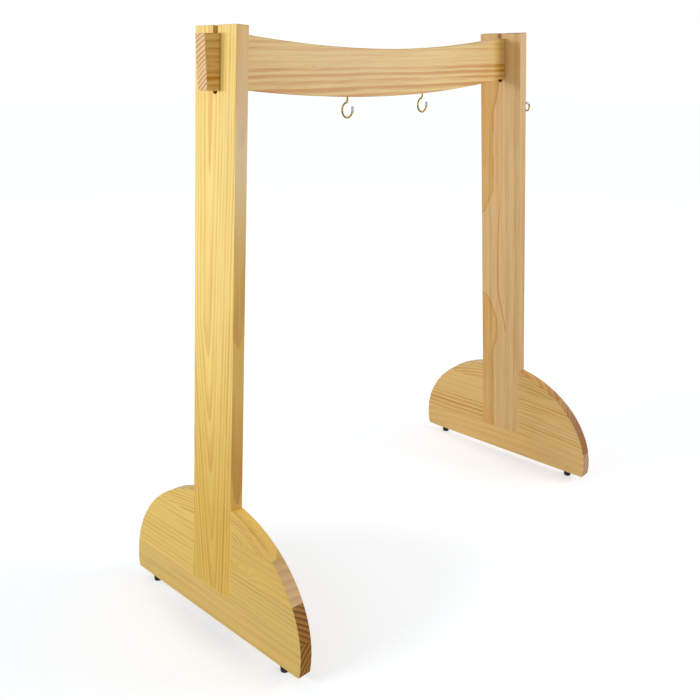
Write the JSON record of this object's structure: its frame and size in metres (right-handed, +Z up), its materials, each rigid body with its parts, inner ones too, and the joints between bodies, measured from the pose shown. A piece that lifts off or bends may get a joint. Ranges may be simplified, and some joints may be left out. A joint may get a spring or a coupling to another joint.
{
  "type": "gong stand",
  "caption": "Free-standing wooden gong stand: half-moon side frames that lean out at the foot, and a bowed crossbeam with gong hooks that lifts out of slots in the posts.",
  "frame": {"origin": "on the floor, midway between the two side frames and midway between the front and back feet", "axes": "+X along the crossbeam to the player's right, -Y towards the player, +Z up"},
  "size_m": [1.0758, 0.533, 1.1845],
  "materials": {
    "pine": "clear satin lacquer",
    "beech": "unfinished",
    "brass": "bright",
    "vinyl": "soft, nearly clear",
    "rubber": "moulded",
    "zinc_steel": "zinc plated"
  },
  "bodies": {
    "left_frame": {"left_post": "pine", "left_base_sill": "pine", "left_base_front_lower_strip": "pine", "left_base_front_middle_strip": "pine", "left_base_front_upper_strip": "pine", "left_base_back_lower_strip": "pine", "left_base_back_middle_strip": "pine", "left_base_back_upper_strip": "pine", "left_foot_dowel_front": "beech", "left_foot_dowel_back": "beech", "left_edge_dowel_front_lower": "beech", "left_edge_dowel_front_upper": "beech", "left_edge_dowel_back_lower": "beech", "left_edge_dowel_back_upper": "beech", "left_front_foot": "rubber", "left_front_foot_washer": "zinc_steel", "left_front_foot_screw": "zinc_steel", "left_back_foot": "rubber", "left_back_foot_washer": "zinc_steel", "left_back_foot_screw": "zinc_steel"},
    "beam": {"crossbeam": "pine", "left_gong_hook": "brass", "left_gong_hook_cap": "vinyl", "right_gong_hook": "brass", "right_gong_hook_cap": "vinyl"},
    "right_frame": {"right_post": "pine", "right_base_sill": "pine", "right_base_front_lower_strip": "pine", "right_base_front_middle_strip": "pine", "right_base_front_upper_strip": "pine", "right_base_back_lower_strip": "pine", "right_base_back_middle_strip": "pine", "right_base_back_upper_strip": "pine", "right_foot_dowel_front": "beech", "right_foot_dowel_back": "beech", "right_edge_dowel_front_lower": "beech", "right_edge_dowel_front_upper": "beech", "right_edge_dowel_back_lower": "beech", "right_edge_dowel_back_upper": "beech", "right_front_foot": "rubber", "right_front_foot_washer": "zinc_steel", "right_front_foot_screw": "zinc_steel", "right_back_foot": "rubber", "right_back_foot_washer": "zinc_steel", "right_back_foot_screw": "zinc_steel", "mallet_hook": "brass", "mallet_hook_cap": "vinyl"}
  },
  "joints": [
    {"name": "beam_lift", "type": "slide", "parent": "left_frame", "child": "beam", "axis": [0.0645, 0, 0.9979], "range_m": [0, 0.125]},
    {"name": "right_frame_slide", "type": "slide", "parent": "beam", "child": "right_frame", "axis": [0.0645, 0, -0.9979], "range_m": [0, 0.125]}
  ],
  "couplings": [
    {"joint": "right_frame_slide", "follows": "beam_lift", "ratio": 1}
  ]
}
